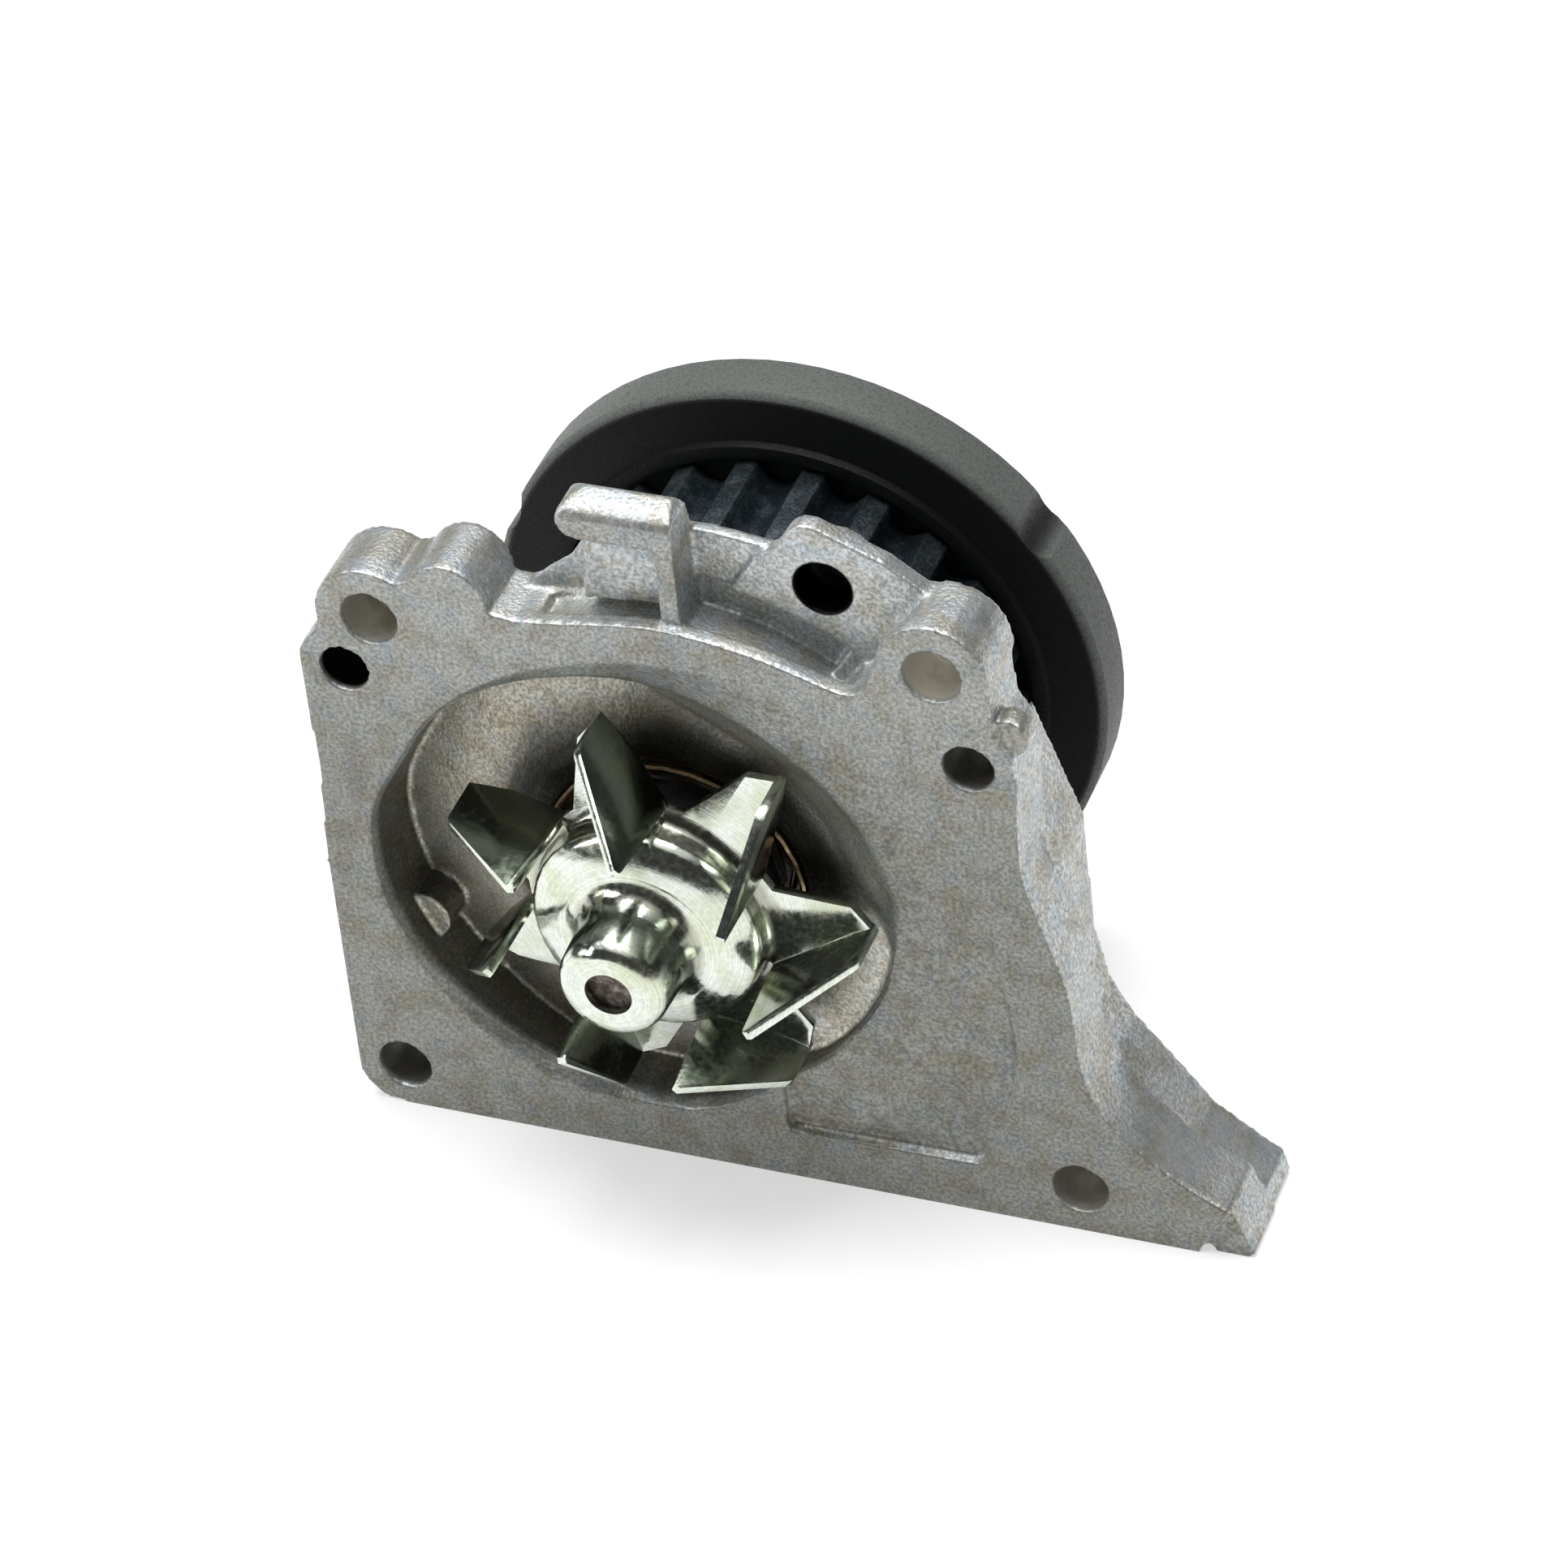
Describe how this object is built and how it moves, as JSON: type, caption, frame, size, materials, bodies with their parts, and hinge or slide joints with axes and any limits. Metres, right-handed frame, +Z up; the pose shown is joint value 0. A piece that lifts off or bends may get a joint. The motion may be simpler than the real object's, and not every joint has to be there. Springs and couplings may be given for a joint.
{
  "type": "engine coolant pump",
  "caption": "Engine water pump: die-cast housing with bolting flange and long foot, pressed steel impeller, sealed shaft bearing, toothed belt pulley and guide plate.",
  "frame": {"origin": "where the shaft axis crosses the housing's mounting face", "axes": "Y is the shaft axis, from the impeller towards the pulley; Z is up, with the housing's flat edge at the bottom; X points towards the long foot"},
  "size_m": [0.1248, 0.0801, 0.105],
  "materials": {
    "cast_housing": "die cast, tumbled, satin",
    "impeller_zinc": "zinc plated pressed sheet, bright",
    "shaft_steel": "ground, end rusted",
    "pulley_oxide": "sintered, oxide finish",
    "plate_black": "matt black coated",
    "bearing_steel": "ground",
    "bearing_rubber": "matt",
    "cage_nylon": "moulded",
    "ball_steel": "polished",
    "slinger_steel": "pressed sheet",
    "seal_brass": "drawn sheet",
    "seal_rubber": "matt",
    "spring_steel": "drawn wire",
    "seal_carbon": "lapped carbon",
    "seal_ceramic": "lapped"
  },
  "bodies": {
    "housing": {"housing": "cast_housing", "bearing_outer_ring": "bearing_steel", "bearing_seal_front": "bearing_rubber", "bearing_seal_rear": "bearing_rubber", "seal_cup": "seal_brass", "seal_bellows": "seal_rubber", "seal_spring": "spring_steel", "seal_carbon_ring": "seal_carbon"},
    "rotor": {"shaft": "shaft_steel", "impeller": "impeller_zinc", "pulley": "pulley_oxide", "pulley_plate": "plate_black", "slinger": "slinger_steel", "seal_mating_ring": "seal_ceramic", "seal_boot": "seal_rubber"},
    "ball_set_front": {"cage_front": "cage_nylon", "ball_front_1": "ball_steel", "ball_front_2": "ball_steel", "ball_front_3": "ball_steel", "ball_front_4": "ball_steel", "ball_front_5": "ball_steel", "ball_front_6": "ball_steel", "ball_front_7": "ball_steel"},
    "ball_set_rear": {"cage_rear": "cage_nylon", "ball_rear_1": "ball_steel", "ball_rear_2": "ball_steel", "ball_rear_3": "ball_steel", "ball_rear_4": "ball_steel", "ball_rear_5": "ball_steel", "ball_rear_6": "ball_steel", "ball_rear_7": "ball_steel"}
  },
  "joints": [
    {"name": "shaft_spin", "type": "hinge", "parent": "housing", "child": "rotor", "pos_m": [0, 0, 0], "axis": [0, 1, 0], "continuous": true},
    {"name": "ball_set_front_spin", "type": "hinge", "parent": "housing", "child": "ball_set_front", "pos_m": [0, 0.0272, 0], "axis": [0, 1, 0], "continuous": true},
    {"name": "ball_set_rear_spin", "type": "hinge", "parent": "housing", "child": "ball_set_rear", "pos_m": [0, 0.0404, 0], "axis": [0, 1, 0], "continuous": true}
  ],
  "couplings": [
    {"joint": "ball_set_front_spin", "follows": "shaft_spin", "ratio": 0.355},
    {"joint": "ball_set_rear_spin", "follows": "shaft_spin", "ratio": 0.355}
  ]
}
